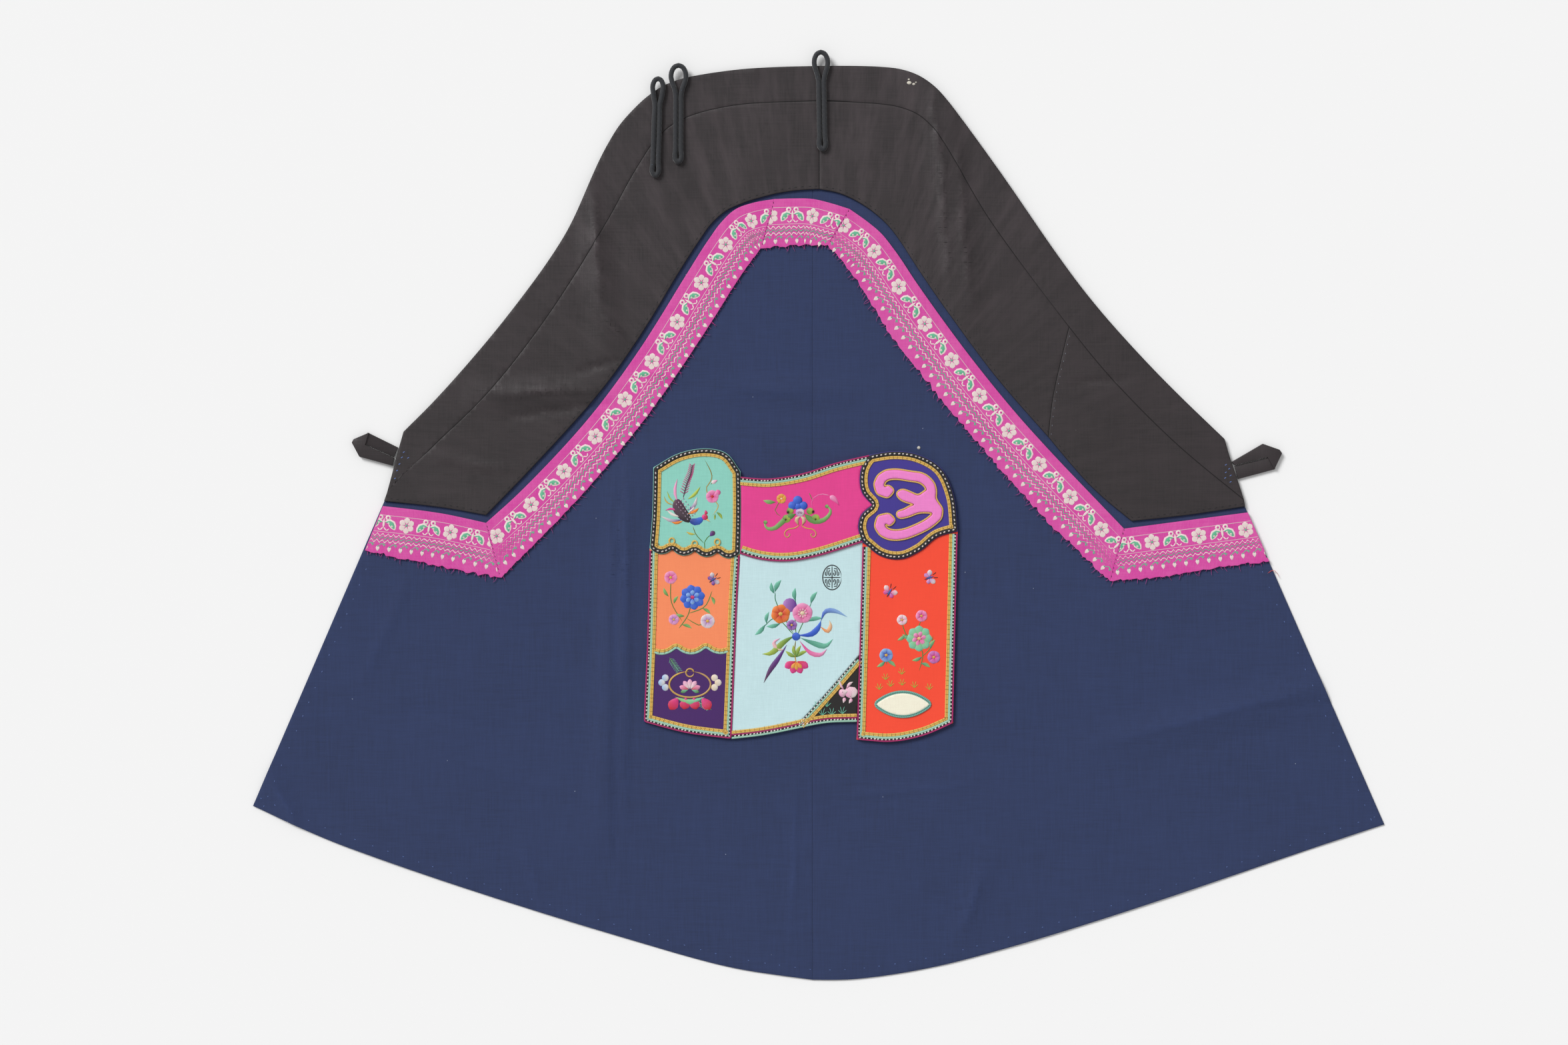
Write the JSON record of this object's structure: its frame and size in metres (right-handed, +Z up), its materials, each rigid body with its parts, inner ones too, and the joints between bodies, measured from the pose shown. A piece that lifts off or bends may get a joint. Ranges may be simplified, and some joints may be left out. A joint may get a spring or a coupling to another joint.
{
  "type": "embroidered apron",
  "caption": "Flat navy cotton apron with a black glazed yoke, woven pink ribbon border, neck cord loops, side tabs and an appliqued patchwork pocket",
  "frame": {"origin": "middle of the laid-out apron's underside, on the surface that it lies on", "axes": "+X runs along the hem to the viewer's right, +Y runs up the cloth to the neck, +Z is up through the cloth"},
  "size_m": [0.5704, 0.4689, 0.005],
  "materials": {
    "navy_cotton": "matt navy twill, worn and creased",
    "glazed_black": "black-brown cotton with a mottled beaten glaze",
    "pink_ribbon": "woven magenta pink ribbon with a raised cream and green pattern",
    "rolled_cord": "rolled blue-black bias cord, slightly fuzzy",
    "strap_black": "folded black cotton strap",
    "teal_silk": "teal silk satin",
    "indigo_silk": "indigo silk satin",
    "magenta_silk": "magenta silk satin",
    "orange_silk": "orange silk satin",
    "purple_silk": "purple silk satin",
    "pale_blue_silk": "pale blue silk satin",
    "black_silk": "black silk satin",
    "red_silk": "red silk satin",
    "cream_silk": "cream silk satin",
    "lilac_pink_silk": "lilac pink silk satin",
    "couched_gold": "gold thread laid and stitched down beside a dashed braid"
  },
  "bodies": {
    "root": {"front_left": "navy_cotton", "front_right": "navy_cotton", "yoke_left": "glazed_black", "yoke_right_upper": "glazed_black", "yoke_right_lower": "glazed_black", "yoke_band": "glazed_black", "ribbon_left_side": "pink_ribbon", "ribbon_left_slope": "pink_ribbon", "ribbon_top": "pink_ribbon", "ribbon_right_slope": "pink_ribbon", "ribbon_right_side": "pink_ribbon", "loop_left": "rolled_cord", "loop_second": "rolled_cord", "loop_middle": "rolled_cord", "tab_left": "strap_black", "tab_right": "strap_black", "pocket_teal": "teal_silk", "pocket_indigo": "indigo_silk", "pocket_banner": "magenta_silk", "pocket_orange": "orange_silk", "pocket_purple": "purple_silk", "pocket_panel": "pale_blue_silk", "pocket_corner": "black_silk", "pocket_red": "red_silk", "pocket_lens": "cream_silk", "pocket_cloud": "lilac_pink_silk", "edging_teal": "couched_gold", "edging_indigo": "couched_gold", "edging_banner_top": "couched_gold", "edging_banner_foot": "couched_gold", "edging_strip": "couched_gold", "edging_scallops": "couched_gold", "edging_panel": "couched_gold", "edging_corner": "couched_gold", "edging_red": "couched_gold", "edging_lens": "couched_gold"}
  },
  "joints": []
}
